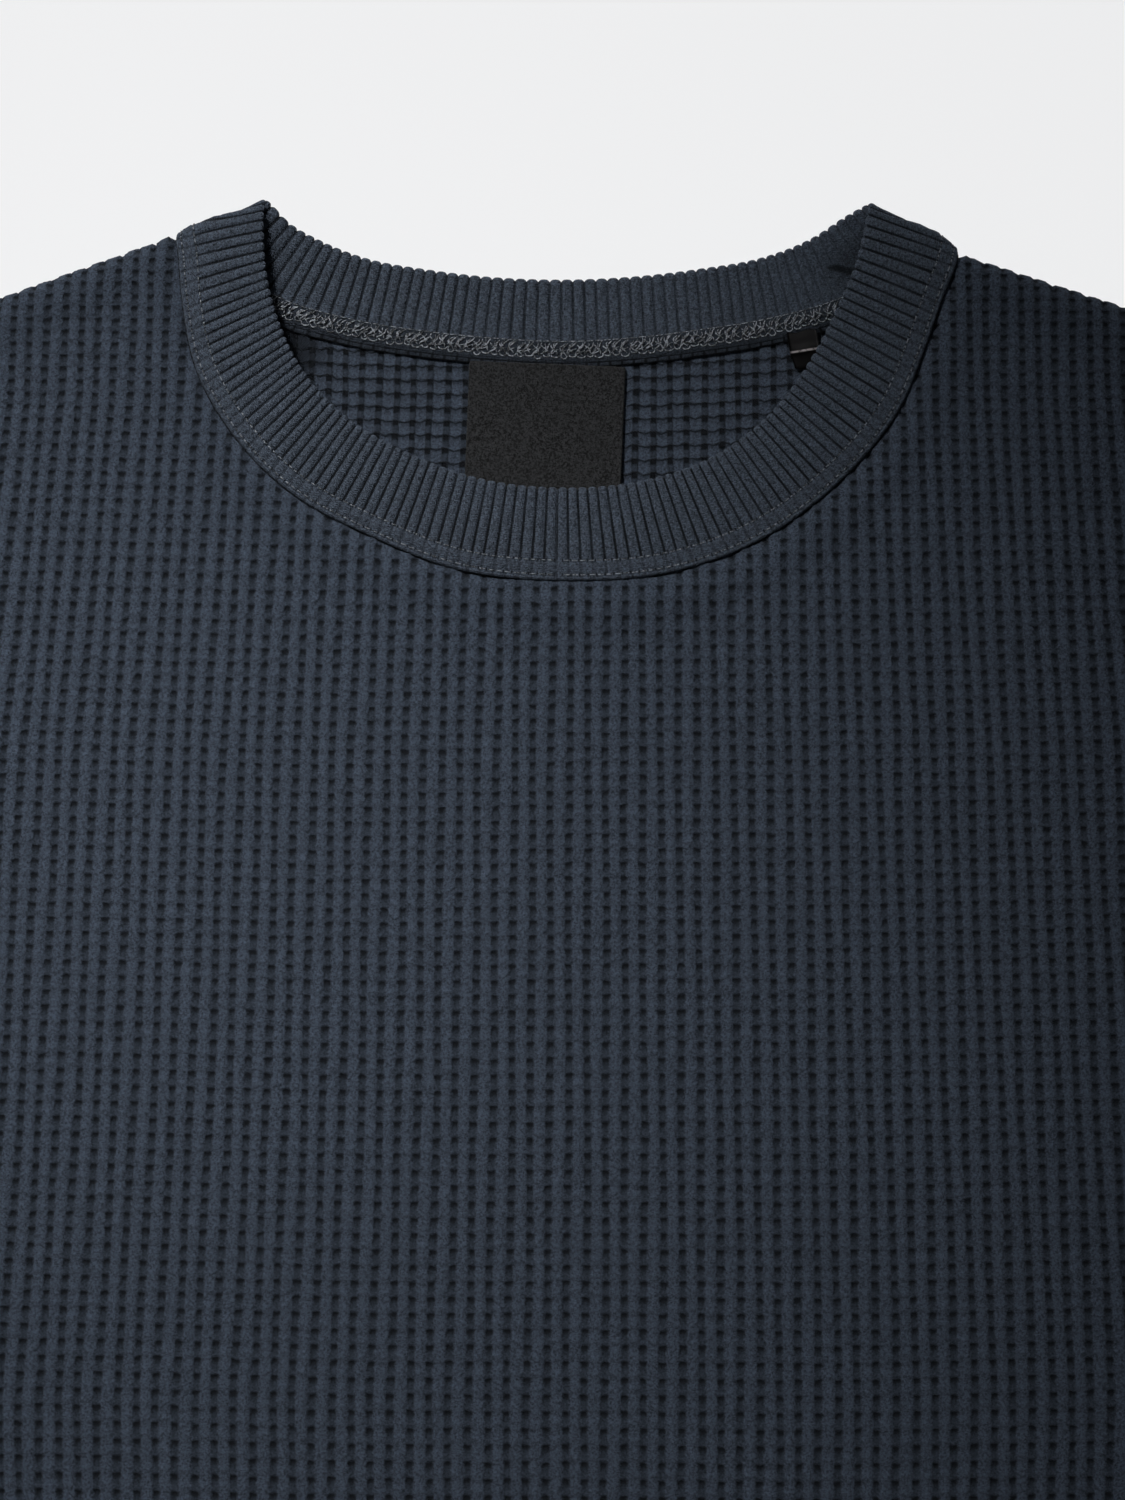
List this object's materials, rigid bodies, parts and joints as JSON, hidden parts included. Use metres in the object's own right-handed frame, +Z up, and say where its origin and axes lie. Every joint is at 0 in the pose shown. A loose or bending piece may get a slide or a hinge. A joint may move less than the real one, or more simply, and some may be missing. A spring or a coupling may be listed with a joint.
{
  "type": "thermal top",
  "caption": "Long-sleeved waffle-knit thermal top with a ribbed crew neck, laid flat, with a plain neck label, a small loop tab and turned hems",
  "frame": {"origin": "on the surface the top lies on, under the middle of its overall width and length", "axes": "+X across the top towards its sleeve_right end, +Y from the hem to the neck, +Z up off the surface, so the front faces up"},
  "size_m": [1.299, 0.7016, 0.0112],
  "materials": {
    "waffle_cloth": "soft matt waffle knit",
    "rib_cloth": "matt rib knit",
    "label_suede": "short suede nap",
    "tab_satin": "glossy satin ribbon"
  },
  "bodies": {
    "root": {"front": "waffle_cloth", "back": "waffle_cloth", "sleeve_right": "waffle_cloth", "sleeve_left": "waffle_cloth", "collar": "rib_cloth", "neck_label": "label_suede", "loop_tab": "tab_satin"}
  },
  "joints": []
}
